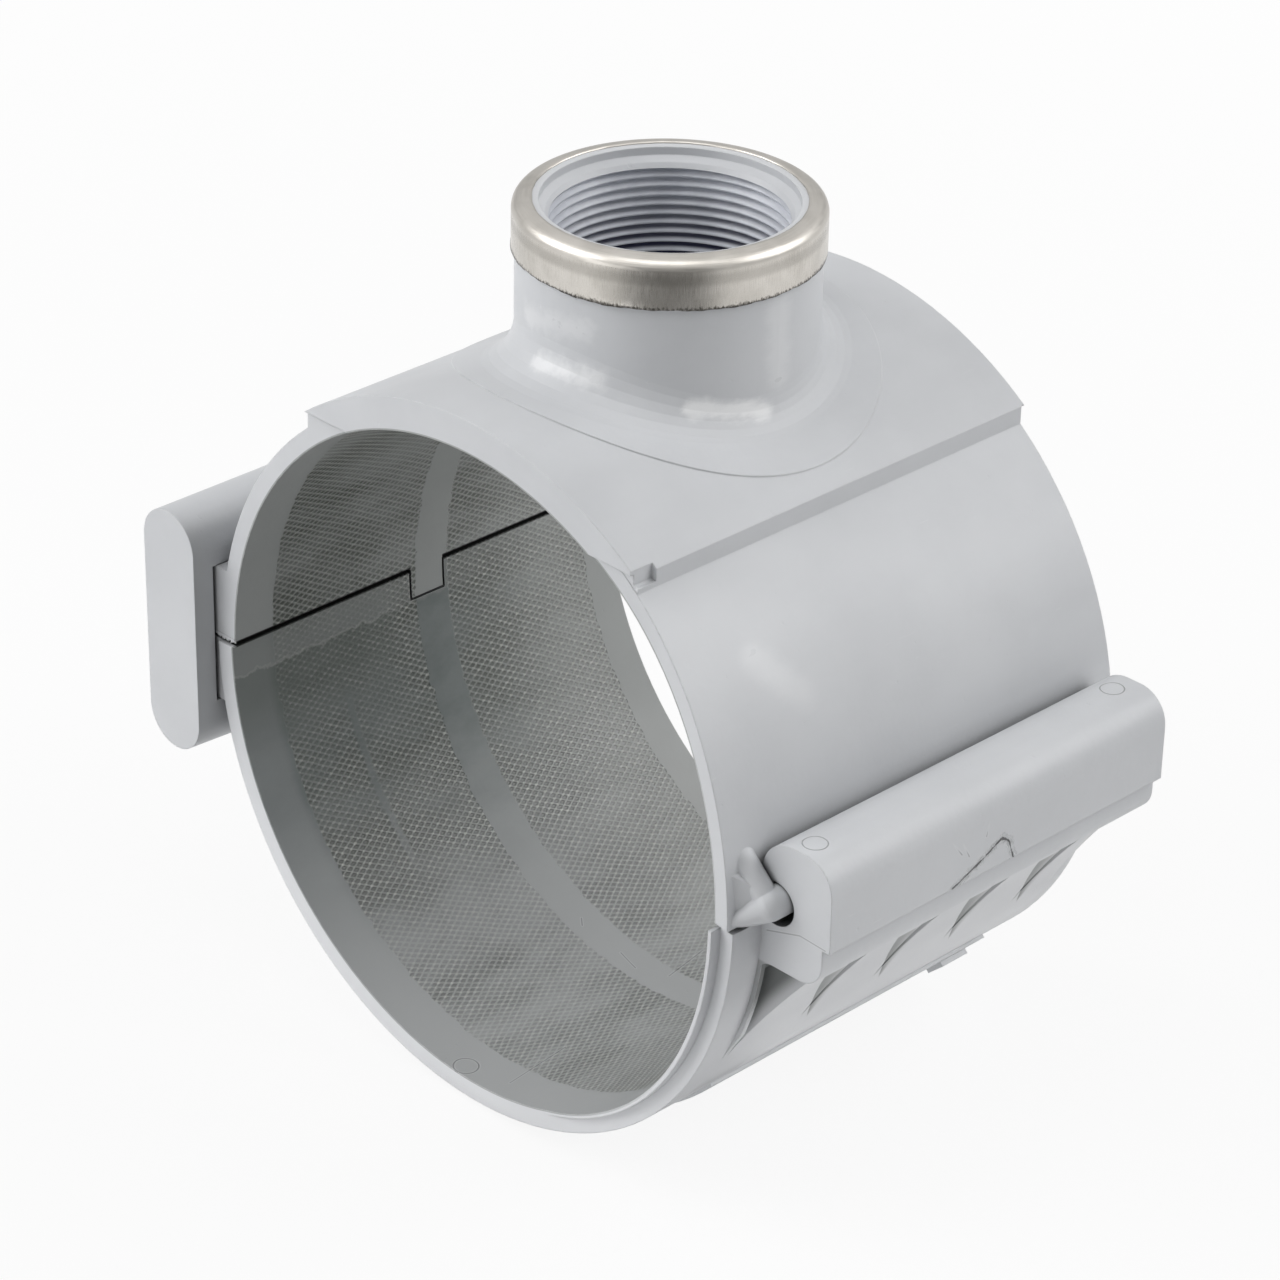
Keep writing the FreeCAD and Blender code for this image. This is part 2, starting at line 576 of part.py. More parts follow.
def wedge():
    """Wedge bar: a channel closed at its near end, deeper below towards the far end."""
    wall_inside = -UPPER_HALF - WEDGE_END_PLAY
    near = wall_inside - WEDGE_NEAR_WALL
    far = HALF
    lip_top = UPPER_NECK_HEIGHT + FLANGE_LIP_RISE
    lip_low = LOWER_NECK_HEIGHT + FLANGE_LIP_RISE
    top = lip_top + WEDGE_FIT + WEDGE_WALL_ABOVE

    def bottom(y):
        return -(lip_low + WEDGE_FIT + WEDGE_WALL_BELOW + lower_drop(y))

    def channel(y):
        neck_low = -(LOWER_NECK_HEIGHT + WEDGE_FIT + lower_drop(y))
        cavity_low = -(lip_low + WEDGE_FIT + lower_drop(y))
        neck_top = UPPER_NECK_HEIGHT + WEDGE_FIT
        cavity_top = lip_top + WEDGE_FIT
        mouth = WEDGE_INNER_X + 1
        inside = WEDGE_INNER_X - WEDGE_LIP
        back = LIP_OUTER_X - WEDGE_FIT
        return [(mouth, neck_low), (inside, neck_low), (inside, cavity_low), (back, cavity_low),
                (back, cavity_top), (inside, cavity_top), (inside, neck_top), (mouth, neck_top)]

    solid = Part.makeLoft([stadium(top, bottom(near), near), stadium(top, bottom(far), far)], True, True)
    return solid.cut(tapered(channel(wall_inside), channel(far + 1), wall_inside, far + 1))


def reinforcing_ring():
    """Pressed stainless ring over the top of the boss."""
    section = ring_section()
    low_z = BOSS_SHOULDER_Z - RING_HEIGHT
    low = [V(BOSS_R, 0, low_z), V(BOSS_R + RING_SHEET, 0, low_z)]
    return revolved(low + section["outer"] + section["inner"][::-1])


def seal():
    """Rubber ring in the groove of the pad, pressed flush with the bore as on the pipe."""
    ring = outlet_cylinder(SEAL_INNER_RADIUS + SEAL_WIDTH, BORE_R / 2, BIG)
    ring = ring.cut(outlet_cylinder(SEAL_INNER_RADIUS, 0, 2 * BIG))
    return ring.common(tube(BORE_R, BORE_R + SEAL_DEPTH - SEAL_CLEARANCE, HALF))


PARTS = {
    "upper_half": upper_half,
    "lower_half": lower_half,
    "wedge": wedge,
    "reinforcing_ring": reinforcing_ring,
    "seal": seal,
}

os.makedirs("parts", exist_ok=True)
for name, make in PARTS.items():
    shape = make()
    solids = shape.Solids
    print(name, "valid", shape.isValid(), "solids", len(solids), "volume", round(shape.Volume))
    if len(solids) == 1:
        shape = solids[0]
    shape.exportStep("parts/" + name + ".step")
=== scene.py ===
"""Looks of the clamp saddle, in metres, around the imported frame.

The pipe runs along Y, the outlet points up along Z, the wedge bar is on the left and the hinge on the right.
Places and sizes named here are in millimetres, in the part's own frame.
"""
import math

import bmesh
import bpy
from mathutils import Matrix, Vector


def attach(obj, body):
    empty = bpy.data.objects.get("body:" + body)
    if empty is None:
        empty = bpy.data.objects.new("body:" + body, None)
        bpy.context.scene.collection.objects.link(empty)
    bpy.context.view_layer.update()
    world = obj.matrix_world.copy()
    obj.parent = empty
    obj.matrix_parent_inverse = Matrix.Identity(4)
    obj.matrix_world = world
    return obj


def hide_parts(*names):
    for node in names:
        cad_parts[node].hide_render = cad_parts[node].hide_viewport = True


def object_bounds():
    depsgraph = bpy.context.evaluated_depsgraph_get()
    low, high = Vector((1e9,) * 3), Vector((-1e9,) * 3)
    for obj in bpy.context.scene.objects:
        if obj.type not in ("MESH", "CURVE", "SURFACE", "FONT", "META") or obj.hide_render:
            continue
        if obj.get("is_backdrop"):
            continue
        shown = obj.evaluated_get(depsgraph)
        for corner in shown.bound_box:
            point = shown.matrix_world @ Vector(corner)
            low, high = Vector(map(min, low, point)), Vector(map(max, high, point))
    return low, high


MM = 0.001

# The photograph's viewpoint in degrees and millimetres, and its lens in pixels of a picture PHOTO_SIZE wide
PHOTO_SIZE = 1280
SENSOR = 36
CAMERA_AZIMUTH = 45.357
CAMERA_ELEVATION = 29.0815
CAMERA_ROLL = 1.0849
CAMERA_DISTANCE = 1085.07
CAMERA_AIM = (-7.10, 0.0, 9.63)
CAMERA_FOCAL = 4518.2

# Studio. Each lamp has an azimuth and elevation in degrees, a size in metres and a power in watts
AMBIENT = 0.15
FLOOR_WHITE = 0.9
FLOOR_NEAR = 0.2
FLOOR_FAR = 1.2
FLOOR_REACH = 6
LAMP_DISTANCE = 1.5
LAMPS = (
    ("front", 0, 4, 0.9, 3.6),
    ("front_left", -40, 35, 1.2, 13.2),
    ("back_right", 135, 35, 1.2, 11.4),
    ("top", 30, 80, 0.9, 4.8),
    ("back", 200, 30, 1.2, 3.6),
)

# The open side of the light tent, which shows dark in the metal
TENT_GAP_AZIMUTH = 45
TENT_GAP_HALF_WIDTH = 42
TENT_GAP_DEPTH = 0.72
TENT_LOW_SKY = 0.6

BORE_R = 84.15
BORE_END = 63.2

# Female thread of the outlet
THREAD_TOP = 122.7
THREAD_LOW = 96.9
THREAD_WALL_R = 27.65
THREAD_STAND_OFF = 0.35
THREAD_PITCH = 2.309
THREAD_DEPTH = 1.6
THREAD_TAPER = 1 / 32

# Pressed ring round the outlet
RING_WALL_R = 36.15
RING_SHEET = 0.7
RING_LOW_Z = 115.6
RING_SHOULDER_Z = 124.8
RING_LIP_R = 31.4
RING_LIP_Z = 127.1
RING_CORNER = 2.6
RING_SLOPE = 15.0

# Hollow outer face of the gussets under the hinge bar, an arc about an axis along the pipe
GUSSET_FACE_CENTRE_X = 288.54
GUSSET_FACE_CENTRE_Z = -168.41
GUSSET_FACE_RADIUS = 244.87
GUSSET_TOP_Z = -11.0
GUSSET_INNER_X = 68
GUSSET_END_Y = 55.7

# Painted shade in the scooped pockets beside the gussets
POCKET_FIRST_Y = -54.35
POCKET_PITCH = 24.15
POCKET_LEAD = 7.7
POCKET_WIDTH = 13.5
POCKET_LEAN = 11.7
POCKET_TOP_Z = -22.3
POCKET_TIP_Z = -46.2

# Ragged skin of plastic at the left split
FLASH_LEFT_X = -91.5
FLASH_RIGHT_X = -83.8
FLASH_Y = -62.3
FLASH_DROP = 1.1
FLASH_TEETH = 26
FLASH_TOP_Z = 1.3
FLASH_LOW_Z = 0.55

# Knurl of the bore: lozenges, longer along the pipe than round it, with a smooth band and a narrow seam
KNURL_LENGTH = 2.96
KNURL_ROW = 1.75
KNURL_DEPTH = 0.30
KNURL_END = 52.8
KNURL_SEAM = 29.7
KNURL_SEAM_WIDTH = 2.2
BAND_MIDDLE = 1.4
BAND_WIDTH = 10.6
WELD_LINE_Z = -9.0

# Painted shade that makes the split a black line in the bore, and the tongue that it goes round
SPLIT_HALF = 0.85
TONGUE_HALF = 5.3
TONGUE_LOW = -8.0

# Colours of the outside
PVC_DULL = (0.580, 0.592, 0.612, 1)
PVC_CLEAN = (0.640, 0.652, 0.671, 1)
# Painted light, lightening the lower parts
PVC_PAINTED_LOW_LIGHT = (0.80, 0.81, 0.83, 1)
PVC_SCUFFED = (0.74, 0.75, 0.76, 1)
# Painted highlight
PVC_PAINTED_HIGHLIGHT = (0.92, 0.925, 0.93, 1)
# Worn edges, lightened partly as wear and partly as painted highlight
PVC_WORN_EDGE_HIGHLIGHT = (0.84, 0.85, 0.86, 1)
# Painted shade on the wedge's side that faces the shell
PVC_PAINTED_SIDE_SHADE = (0.28, 0.29, 0.30, 1)
SCRATCH_FLOOR = (0.10, 0.105, 0.11, 1)
SCRATCH_SIDE = (0.75, 0.76, 0.77, 1)
CHIPPED = (0.80, 0.81, 0.82, 1)
CRACKED = (0.03, 0.03, 0.03, 1)
# Painted shade, laid into corners, creases and gaps as they close in
CREVICE_SHADE = (0.006, 0.007, 0.006, 1)
POCKET_SHADE = (0.10, 0.11, 0.105, 1)
# Painted shade of the split
SPLIT_PAINTED_SHADE = (0.004, 0.005, 0.004, 1)

# Colours of the bore, darker than the outside as painted shade, and lighter copies of them as painted light
BORE_DARK = (0.150, 0.170, 0.168, 1)
BORE_MOTTLED = (0.195, 0.215, 0.212, 1)
BORE_MARGIN = (0.30, 0.315, 0.32, 1)
BORE_LOW = (0.42, 0.43, 0.435, 1)
BORE_TOP = (0.37, 0.38, 0.375, 1)
BORE_FAR = (0.48, 0.49, 0.48, 1)
CREST_DARK = (0.235, 0.245, 0.228, 1)
CREST_LOW = (0.40, 0.41, 0.405, 1)
CREST_MOTTLED = (0.34, 0.35, 0.335, 1)
CREST_LIT = (0.62, 0.62, 0.60, 1)
PIT_DARK = (0.080, 0.090, 0.076, 1)
PIT_LOW = (0.21, 0.218, 0.212, 1)
PIT_LIT = (0.27, 0.27, 0.255, 1)
ABOVE_WELD = (0.25, 0.26, 0.25, 1)
BELOW_WELD = (0.095, 0.108, 0.092, 1)
WELD_LINE = (0.42, 0.43, 0.41, 1)
# Painted glints
PAINTED_GLINT = (0.66, 0.66, 0.63, 1)

# Colours of the thread, the ring and the seal
THREAD_CREST_DULL = (0.60, 0.62, 0.67, 1)
THREAD_CREST_PALE = (0.70, 0.72, 0.77, 1)
# Painted shade of the thread's roots
THREAD_ROOT_SHADE = (0.008, 0.010, 0.055, 1)
STEEL_DULL = (0.49, 0.467, 0.428, 1)
STEEL_BRIGHT = (0.65, 0.622, 0.580, 1)
# Painted dark reflection below the shoulder and on the top
STEEL_BEND_PAINTED_REFLECTION = (0.26, 0.245, 0.22, 1)
STEEL_TOP_PAINTED_REFLECTION = (0.36, 0.345, 0.32, 1)
STEEL_DARK_EDGE = (0.05, 0.044, 0.036, 1)
RUBBER_DARK = (0.017, 0.017, 0.019, 1)
RUBBER_DUSTY = (0.030, 0.030, 0.032, 1)
FLOOR_CARD = (0.80, 0.80, 0.80, 1)


class Value:
    """A number that varies over a surface. Arithmetic on it adds Math nodes."""

    def __init__(self, look, socket):
        self.look = look
        self.socket = socket

    def do(self, operation, *others):
        return self.look.math(operation, self, *others)

    def __add__(self, other):
        return self.do("ADD", other)

    __radd__ = __add__

    def __sub__(self, other):
        return self.do("SUBTRACT", other)

    def __rsub__(self, other):
        return self.look.math("SUBTRACT", other, self)

    def __mul__(self, other):
        return self.do("MULTIPLY", other)

    __rmul__ = __mul__

    def __truediv__(self, other):
        return self.do("DIVIDE", other)

    def __rtruediv__(self, other):
        return self.look.math("DIVIDE", other, self)

    def __neg__(self):
        return self * -1

    def __abs__(self):
        return self.do("ABSOLUTE")


class Nodes:
    """The nodes of a material or of the world."""

    def __init__(self, owner):
        owner.use_nodes = True
        self.owner = owner
        self.tree = owner.node_tree
        self.tree.nodes.clear()

    def node(self, kind, settings=None, sockets=None):
        """New node: its settings are set first, then its sockets get values or links."""
        made = self.tree.nodes.new("ShaderNode" + kind)
        for key, value in (settings or {}).items():
            setattr(made, key, value)
        for key, value in (sockets or {}).items():
            if isinstance(value, Value):
                self.tree.links.new(value.socket, made.inputs[key])
            elif isinstance(value, bpy.types.NodeSocket):
                self.tree.links.new(value, made.inputs[key])
            else:
                made.inputs[key].default_value = value
        return made

    def math(self, operation, *terms):
        made = self.node("Math", {"operation": operation}, dict(enumerate(terms)))
        return Value(self, made.outputs[0])

    def least(self, *values):
        """The smallest of several values."""
        low = values[0]
        for value in values[1:]:
            low = self.math("MINIMUM", low, value)
        return low

    def hypot(self, first, second):
        """Straight distance over two lengths at right angles."""
        return self.math("SQRT", first * first + second * second)

    def ramp(self, value, low, high, to_low=0.0, to_high=1.0):
        """Smooth step from to_low at low to to_high at high."""
        made = self.node(
            "MapRange",
            {"interpolation_type": "SMOOTHSTEP"},
            {"Value": value, "From Min": low, "From Max": high, "To Min": to_low, "To Max": to_high},
        )
        return Value(self, made.outputs[0])

    def band(self, value, low, high, soft):
        """1 between low and high, falling to 0 over soft on both sides."""
        return self.ramp(value, low - soft, low + soft) * self.ramp(value, high + soft, high - soft)

    def blend(self, factor, first, second):
        """Colour between two colours."""
        made = self.node("Mix", {"data_type": "RGBA"}, {0: factor, 6: first, 7: second})
        return made.outputs[2]

    def parts(self, vector):
        """The three numbers of a vector."""
        return [Value(self, out) for out in self.node("SeparateXYZ", None, {0: vector}).outputs]

    def light_paths(self):
        """How much of a ray is the camera's or a mirror's: two values, each 0 or 1."""
        path = self.node("LightPath")
        return Value(self, path.outputs["Is Camera Ray"]), Value(self, path.outputs["Is Glossy Ray"])

    def tent(self, x, y, height):
        """Whiteness of the tent in the direction x, y, less where the tent is open at the front."""
        azimuth = math.radians(TENT_GAP_AZIMUTH)
        length = self.math("SQRT", x * x + y * y + 1e-6)
        facing = (x * math.sin(azimuth) - y * math.cos(azimuth)) / length
        edge = math.cos(math.radians(TENT_GAP_HALF_WIDTH))
        gap = self.ramp(facing, edge, (edge + 3) / 4) * self.ramp(height, 0.55, 0.25)
        return 1 - gap * TENT_GAP_DEPTH

    def glow(self, whiteness):
        """Light given off by a white thing of that whiteness, as a shader."""
        white = self.node("Emission", None, {"Color": (1, 1, 1, 1), "Strength": 1.0}).outputs[0]
        none = self.node("Emission", None, {"Color": (0, 0, 0, 1), "Strength": 1.0}).outputs[0]
        return self.node("MixShader", None, {0: whiteness, 1: none, 2: white}).outputs[0]


class Finish(Nodes):
    """A material of the saddle."""

    def __init__(self, name):
        super().__init__(bpy.data.materials.new(name))
        self.where = self.node("TexCoord").outputs["Object"]
        self.x, self.y, self.z = [value * 1000 for value in self.parts(self.where)]

    def noise(self, size, detail=3.0, rough=0.5, stretch=(1, 1, 1), shift=0.0):
        """Noise in 0 to 1 whose features are about size millimetres across, longer where stretched."""
        scale = [1 / (MM * s) for s in stretch]
        terms = {0: self.where, 1: scale, 2: (shift,) * 3}
        moved = self.node("VectorMath", {"operation": "MULTIPLY_ADD"}, terms)
        sockets = {"Vector": moved.outputs[0], "Scale": 1 / size, "Detail": detail, "Roughness": rough}
        return Value(self, self.node("TexNoise", None, sockets).outputs[0])

    def noise_on(self, first, second, size, detail=3.0):
        """Noise over two values in millimetres."""
        where = self.node("CombineXYZ", None, {0: first, 1: second, 2: 0.0}).outputs[0]
        made = self.node("TexNoise", None, {"Vector": where, "Scale": 1 / size, "Detail": detail})
        return Value(self, made.outputs[0])

    def from_point(self, point):
        """Distance in millimetres from a point."""
        made = self.node("VectorMath", {"operation": "DISTANCE"}, {0: self.where, 1: Vector(point) * MM})
        return Value(self, made.outputs["Value"]) * 1000

    def from_line(self, start, end):
        """Distance in millimetres from the straight line between two points."""
        first = Vector(start) * MM
        along = Vector(end) * MM - first
        out = self.node("VectorMath", {"operation": "SUBTRACT"}, {0: self.where, 1: first}).outputs[0]
        unit = along / along.length_squared
        dot = self.node("VectorMath", {"operation": "DOT_PRODUCT"}, {0: out, 1: unit})
        share = self.least(self.math("MAXIMUM", Value(self, dot.outputs["Value"]), 0.0), 1.0)
        foot = self.node("VectorMath", {"operation": "SCALE"}, {0: along, "Scale": share}).outputs[0]
        made = self.node("VectorMath", {"operation": "DISTANCE"}, {0: out, 1: foot})
        return Value(self, made.outputs["Value"]) * 1000

    def openness(self, distance):
        """1 on open faces, less in corners and gaps, down to 0 deep inside."""
        made = self.node("AmbientOcclusion", {"samples": 4}, {"Distance": distance * MM})
        return Value(self, made.outputs["AO"])

    def rounded(self, radius):
        """Normal with its edges rounded, and how much it turns there."""
        soft = self.node("Bevel", {"samples": 4}, {"Radius": radius * MM}).outputs[0]
        plain = self.node("NewGeometry").outputs["Normal"]
        same = self.node("VectorMath", {"operation": "DOT_PRODUCT"}, {0: soft, 1: plain})
        return soft, 1 - Value(self, same.outputs["Value"])

    def bump(self, height, depth, under=None):
        """Normal from a height in 0 to 1 that stands for depth millimetres."""
        sockets = {"Height": height, "Distance": depth * MM, "Strength": 1.0}
        if under is not None:
            sockets["Normal"] = under
        return self.node("Bump", None, sockets).outputs[0]

    def shader(self, **sockets):
        """Principled shader with the given sockets."""
        names = {key.replace("_", " "): value for key, value in sockets.items()}
        return self.node("BsdfPrincipled", None, names).outputs[0]

    def surface(self, shader):
        """The finished material, with that shader."""
        self.node("OutputMaterial", None, {"Surface": shader})
        return self.owner

    def finish(self, **sockets):
        """The finished material, with a principled shader that has the given sockets."""
        return self.surface(self.shader(**sockets))


# Marks of the lower half: pin rings as centre and radius, scratches from start to end, and a cornered crack
BORE_RINGS = (((-3.3, -60.0, -84.1), 3.1),)
BORE_SCRATCHES = (
    ((9.6, -57.5, -83.6), (7.3, -37.0, -83.8)),
    ((1.7, 3.7, -84.1), (-1.0, 18.4, -84.1)),
    ((-13.0, 1.2, -83.1), (-6.4, -0.1, -83.9)),
    ((-27.4, 1.1, -79.6), (-25.5, -0.4, -80.2)),
)
BAR_RINGS = (((99.5, -50.6, 21.4), 2.9), ((98.7, 49.0, 21.4), 2.9))
BAR_SCRATCHES = (
    ((90.8, -55.7, -2.4), (100.8, -55.7, 0.8)),
    ((100.8, -55.7, 0.8), (108.5, -55.7, 0.5)),
    ((109.2, -14.5, 13.0), (109.8, -11.0, 6.5)),
    ((109.2, -18.5, 14.5), (109.8, -13.5, 8.0)),
    ((109.0, -4.0, 16.0), (109.8, -5.5, 9.5)),
)
SCRATCH_DEPTH = 0.15
CRACK = ((109.8, -16.2, 0.2), (109.8, -7.0, 3.6), (109.8, -0.2, 6.9), (109.8, 2.4, 5.0), (109.8, 5.4, -3.4))
CRACK_DEPTH = 0.4
CHIP_DEPTH = 0.25

# Patches of the upper half, glossier and lightened as painted highlights: start, end, reach on both sides and
# strength
GLOSS_AND_HIGHLIGHTS = (
    ((29.5, -21.0, 91.5), (36.0, -5.0, 88.2), 2.0, 0.8),
    ((-3.4, -37.3, 96.6), (12.3, -34.2, 97.2), 2.2, 0.45),
    ((-10.0, -33.9, 104.9), (8.0, -34.4, 108.0), 3.2, 0.28),
    ((35.4, -0.3, 111.0), (35.4, 0.5, 95.0), 4.2, 0.26),
    ((71.5, -42.0, 53.5), (77.5, -33.0, 43.0), 4.5, 0.14),
)


def knurl(look, half):
    """Knurl of the bore: its pits and its painted glints, both in 0 to 1, and how much of it shows."""
    around = look.math("ARCTAN2", look.z, look.x) * BORE_R
    wander = look.noise(14, 3, 0.6, shift=1.0) - 0.5
    u = look.y / KNURL_LENGTH + wander * 0.5
    v = around / KNURL_ROW
    one = look.math("PINGPONG", u + v, 0.5) * 2
    two = look.math("PINGPONG", u - v, 0.5) * 2
    pits = look.ramp(look.least(one, two), 0.10, 0.62)
    # Painted glints where the knurl's crests cross
    glint = look.ramp(look.math("MAXIMUM", one, two), 0.62, 0.28)
    glint = glint * look.ramp(look.noise(1.7, 2, 0.6, shift=12.0), 0.42, 0.60)
    ragged = look.y + (look.noise(3.0, 2, 0.6, shift=2.0) - 0.5) * 2.4
    side = abs(ragged - BAND_MIDDLE)
    area = look.band(side, BAND_WIDTH / 2, KNURL_END - 1, 0.25)
    worn = look.ramp(look.noise(16, 4, 0.6, (1, 2.5, 1), 4.0), 0.30, 0.68, 0.30, 1.0)
    area = area * worn
    if half == "lower":
        half_seam = KNURL_SEAM_WIDTH / 2
        seam = look.band(ragged, -KNURL_SEAM - half_seam, -KNURL_SEAM + half_seam, 0.7)
        area = area * (1 - seam * look.band(look.z, -62, -24, 6) * 0.85)
        area = area * (1 - look.ramp(look.y, -8, -18) * look.ramp(look.z, -38, -22) * 0.55)
    return pits, glint * area, area


def bore_tone(look, half, pits, glint, area):
    """Colour of the bore, dark as painted shade: dark above and lighter below as painted light, painted
    glints, and a weld line near the split.
    """
    mottle = look.ramp(look.noise(9, 5, 0.65, (1, 1.8, 1), 11.0), 0.32, 0.68)
    # Painted light: the bore lighter towards the bottom and towards its far end
    low = look.ramp(look.z, -38, -86)
    far = look.ramp(look.y, 5, 50)
    margin = look.ramp(abs(look.y), KNURL_END - 3, KNURL_END + 1)
    dark = look.blend(mottle, BORE_DARK, BORE_MOTTLED)
    dark = look.blend(margin * 0.6, dark, BORE_MARGIN)
    smooth = look.blend(low, dark, BORE_LOW)
    crest = look.blend(low, CREST_DARK, CREST_LOW)
    pit = look.blend(low, PIT_DARK, PIT_LOW)
    crest = look.blend(mottle * 0.4, crest, CREST_MOTTLED)
    if half == "upper":
        # Painted light: the upper half's bore lighter towards the right
        lit = look.ramp(look.x, -72, -30)
        smooth = look.blend(0.8, smooth, BORE_TOP)
        crest = look.blend(lit * 0.85, crest, CREST_LIT)
        pit = look.blend(lit * 0.8, pit, PIT_LIT)
    # Painted shade: the knurl's pits darker than its crests
    colour = look.blend(area, smooth, look.blend(pits, crest, pit))
    colour = look.blend(far * 0.6, colour, BORE_FAR)
    if half == "lower":
        weld = look.z - WELD_LINE_Z + (look.noise(5, 4, 0.6, shift=13.0) - 0.5) * 5
        near = look.ramp(look.y, -8, -16)
        above = look.ramp(weld, -0.4, 0.4) * look.ramp(look.y, 40, 10)
        below = look.ramp(weld, 0.4, -0.4) * look.ramp(look.z, -34, -14) * near
        colour = look.blend(above * 0.55, colour, ABOVE_WELD)
        colour = look.blend(below * 0.45, colour, BELOW_WELD)
        line = look.ramp(abs(weld), 0.55, 0.15) * near
        colour = look.blend(line * 0.35, colour, WELD_LINE)
    # Painted glints
    return look.blend(glint * (0.62 if half == "lower" else 0.3), colour, PAINTED_GLINT)


def split_shade_line(look):
    """Where the painted shade that makes the split a black line, and its way round the tongue, shows in the
    bore.
    """
    tongue_side = look.ramp(look.x, -40, -50)
    past_tongue = abs(look.y) - TONGUE_HALF
    beside = look.ramp(past_tongue, -0.1, 0.1) * tongue_side + (1 - tongue_side)
    straight = look.ramp(abs(look.z), SPLIT_HALF + 0.1, SPLIT_HALF - 0.1) * beside
    wall = look.ramp(abs(past_tongue - 0.2), 0.42, 0.30)
    wall = wall * look.band(look.z, TONGUE_LOW - 0.3, 0, 0.1)
    foot = look.ramp(abs(look.z - TONGUE_LOW + 0.15), 0.42, 0.30)
    foot = foot * look.ramp(past_tongue, 0.5, 0.3)
    round_tongue = look.math("MAXIMUM", wall, foot) * tongue_side
    near_bore = look.ramp(look.hypot(look.x, look.z), BORE_R + 3.5, BORE_R + 3)
    near_bore = near_bore * look.ramp(abs(look.y), BORE_END - 1, BORE_END - 1.5)
    return look.math("MAXIMUM", straight, round_tongue) * near_bore


def pockets(look):
    """Shade in the scooped pockets of the gussets, and where their floors show beyond it."""
    across = look.x - GUSSET_FACE_CENTRE_X
    up = look.z - GUSSET_FACE_CENTRE_Z
    depth = look.hypot(across, up) - GUSSET_FACE_RADIUS
    below = look.ramp(look.z, GUSSET_TOP_Z + 0.4, GUSSET_TOP_Z - 0.4)
    below = below * look.ramp(look.x, GUSSET_INNER_X - 2, GUSSET_INNER_X + 2)
    below = below * look.ramp(abs(look.y), GUSSET_END_Y + 0.2, GUSSET_END_Y - 0.2)
    past_wall = look.math("FRACT", (look.y - POCKET_FIRST_Y + POCKET_LEAD) / POCKET_PITCH) * POCKET_PITCH
    fall = (POCKET_TOP_Z - look.z) / (POCKET_TOP_Z - POCKET_TIP_Z)
    width = look.math("MAXIMUM", (1 - fall) * POCKET_WIDTH, 0.1)
    share = (past_wall - fall * POCKET_LEAN) / width
    scoop = look.ramp(share, 0, 0.06) * look.ramp(share, 1.0, 0.05)
    scoop = scoop * look.ramp(fall, -0.03, 0.03) * look.ramp(fall, 1.0, 0.85)
    first = look.ramp(look.y, POCKET_FIRST_Y + 15, POCKET_FIRST_Y + 14)
    shade = look.ramp(depth, 0.2, 4.2) * first + scoop * (1 - first)
    return shade * below, look.ramp(depth, 0.1, 0.4) * below * (1 - first)


def gloss_and_highlight(look, colour, rough):
    """Glossier patches, lightened as painted highlights, with ragged edges."""
    ripple = (look.noise(3, 4, 0.65, (1, 3, 1), 14.0) - 0.5) * 5
    for start, end, reach, strength in GLOSS_AND_HIGHLIGHTS:
        glossy_lit = look.ramp(look.from_line(start, end) + ripple, reach + 1.5, reach * 0.2)
        rough = rough - glossy_lit * 0.12
        # Painted highlight in the patch's colour
        colour = look.blend(glossy_lit * strength, colour, PVC_PAINTED_HIGHLIGHT)
    return colour, rough


def marks(look, rings, scratches, colour, skin):
    """Pin rings, which are pressed in, and scratches, too fine for relief: dark lines with pale sides."""
    ring = look.least(*[abs(look.from_point(centre) - radius) for centre, radius in rings])
    skin = look.bump(1 - look.ramp(ring, 0.22, 0.06), SCRATCH_DEPTH, skin)
    groove = look.least(ring, *[look.from_line(start, end) for start, end in scratches])
    colour = look.blend(look.ramp(groove, 0.22, 0.06) * 0.45, colour, SCRATCH_FLOOR)
    beside = look.ramp(groove, 0.5, 0.3) * look.ramp(groove, 0.2, 0.3)
    return look.blend(beside * 0.3, colour, SCRATCH_SIDE), skin


def crack(look, colour, skin):
    """The crack in the hinge bar, a dark line between chipped lips."""
    off = look.least(*[look.from_line(start, end) for start, end in zip(CRACK, CRACK[1:])])
    off = off + (look.noise(1.5, 3, 0.6, shift=8.0) - 0.5) * 1.3
    line = look.ramp(off, 0.35, 0.05)
    chipped = look.ramp(off, 1.6, 0.6) * look.ramp(look.noise(0.9, 3, 0.6, shift=15.0), 0.45, 0.60)
    depth = CHIP_DEPTH + CRACK_DEPTH
    skin = look.bump(1 - chipped * (CHIP_DEPTH / depth) - line * (CRACK_DEPTH / depth), depth, skin)
    colour = look.blend(chipped * 0.4, colour, CHIPPED)
    return look.blend(line * 0.85, colour, CRACKED), skin


